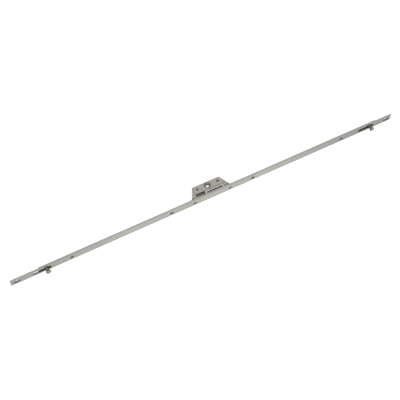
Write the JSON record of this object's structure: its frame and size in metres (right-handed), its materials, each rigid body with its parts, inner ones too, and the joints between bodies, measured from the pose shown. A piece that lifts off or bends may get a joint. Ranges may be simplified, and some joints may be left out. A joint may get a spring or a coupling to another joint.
{
  "type": "window espagnolette gearbox",
  "caption": "Window lock: a long steel faceplate, a geared case behind its middle turned by a square spindle, and a sliding rod with a mushroom cam near each end.",
  "frame": {"origin": "on the spindle axis, at half the thickness of the case", "axes": "+X along the faceplate, +Y from the faceplate's front to the back of the case, +Z along the spindle axis, out of the cover"},
  "size_m": [0.8, 0.0404, 0.016],
  "materials": {
    "plated_strip": "zinc-plated and passivated steel strip, satin",
    "pressed_cover": "zinc-plated pressed steel sheet, satin",
    "zinc_casting": "plated casting, fine matt grain",
    "rack_steel": "plated steel, lightly greased",
    "follower_steel": "sintered steel, lightly greased",
    "rivet_steel": "plated rivets, peened",
    "turned_steel": "turned and plated steel",
    "cam_steel": "turned and bright-plated steel"
  },
  "bodies": {
    "plate_and_case": {"faceplate": "plated_strip", "case_base": "zinc_casting", "case_cover": "pressed_cover", "case_rivets": "rivet_steel", "foot_rivets": "rivet_steel", "rod_guide_1": "zinc_casting", "rod_guide_2": "zinc_casting", "rod_guide_3": "zinc_casting", "rod_guide_4": "zinc_casting", "fixing_sleeve_left": "turned_steel", "fixing_sleeve_right": "turned_steel"},
    "drive": {"drive_rod": "plated_strip", "rack_slide": "rack_steel", "cam_pin_left": "turned_steel", "cam_pin_right": "turned_steel", "cam_washer_left": "turned_steel", "cam_washer_right": "turned_steel"},
    "follower": {"spindle_follower": "follower_steel"},
    "roller_left": {"cam_roller_left": "cam_steel"},
    "roller_right": {"cam_roller_right": "cam_steel"}
  },
  "joints": [
    {"name": "drive_slide", "type": "slide", "parent": "plate_and_case", "child": "drive", "axis": [1, 0, 0], "range_m": [-0.018, 0]},
    {"name": "spindle_turn", "type": "hinge", "parent": "plate_and_case", "child": "follower", "pos_m": [0, 0, 0], "axis": [0, 0, 1], "range_deg": [-90.1, 0]},
    {"name": "left_roller_spin", "type": "hinge", "parent": "drive", "child": "roller_left", "pos_m": [-0.332, -0.025, 0], "axis": [0, -1, 0], "continuous": true},
    {"name": "right_roller_spin", "type": "hinge", "parent": "drive", "child": "roller_right", "pos_m": [0.35, -0.025, 0], "axis": [0, -1, 0], "continuous": true}
  ],
  "couplings": [
    {"joint": "spindle_turn", "follows": "drive_slide", "rad_per_m": 87.266}
  ]
}
